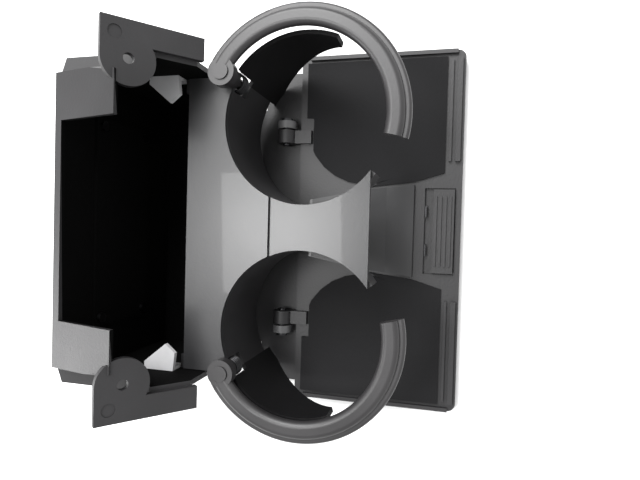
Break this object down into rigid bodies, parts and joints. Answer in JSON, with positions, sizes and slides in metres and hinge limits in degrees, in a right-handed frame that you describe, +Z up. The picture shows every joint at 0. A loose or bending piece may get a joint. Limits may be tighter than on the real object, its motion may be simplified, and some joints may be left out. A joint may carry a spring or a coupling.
{
  "type": "fold-out twin cup holder",
  "caption": "Fold-out twin cup holder insert: leaning bezel, open housing, tray with round wells, swinging ring arms and a matted fold-down door.",
  "frame": {"origin": "centre of the footprint, on the surface it lies on", "axes": "+Z up, -Y towards the door's front edge, +X across the width"},
  "size_m": [0.1936, 0.172, 0.1035],
  "materials": {
    "shell": "fine grain",
    "tray": "satin",
    "arm": "satin",
    "mat": "matt",
    "pale": "satin",
    "bush": "matt",
    "steel": "satin"
  },
  "bodies": {
    "base": {"housing_shell": "shell", "bezel_frame": "shell", "rear_cover": "shell", "cup_tray": "tray", "right_skirt": "shell", "left_skirt": "shell", "right_arm_pin": "arm", "left_arm_pin": "arm", "right_arm_bush": "bush", "left_arm_bush": "bush", "right_arm_spring": "steel", "left_arm_spring": "steel", "right_tab": "pale", "left_tab": "pale", "tray_rails": "shell", "tray_screws": "steel", "rear_cover_screws": "steel", "right_hinge_bracket": "pale", "left_hinge_bracket": "pale", "hinge_pins": "steel", "right_well": "shell", "left_well": "shell"},
    "right_arm": {"right_ring_arm": "arm"},
    "left_arm": {"left_ring_arm": "arm"},
    "door": {"door_outer_cover": "shell", "door_inner_panel": "tray", "centre_spine": "tray", "right_mat": "mat", "left_mat": "mat", "latch_spring": "steel"},
    "latch": {"latch_slider": "shell"}
  },
  "joints": [
    {"name": "right_arm_pivot", "type": "hinge", "parent": "base", "child": "right_arm", "pos_m": [0.068, 0.02, 0.065], "axis": [0, 0, -1], "range_deg": [0, 55], "stiffness_Nm_per_rad": 0.02, "springref_deg": -17.19},
    {"name": "left_arm_pivot", "type": "hinge", "parent": "base", "child": "left_arm", "pos_m": [-0.068, 0.02, 0.059], "axis": [0, 0, 1], "range_deg": [0, 55], "stiffness_Nm_per_rad": 0.02, "springref_deg": -17.19},
    {"name": "door_hinge", "type": "hinge", "parent": "base", "child": "door", "pos_m": [0, 0.008, 0.008], "axis": [-1, 0, 0], "range_deg": [0, 18]},
    {"name": "latch_slide", "type": "slide", "parent": "door", "child": "latch", "axis": [0, 1, 0], "range_m": [0, 0.003], "stiffness_N_per_m": 300, "springref_m": -0.001}
  ]
}
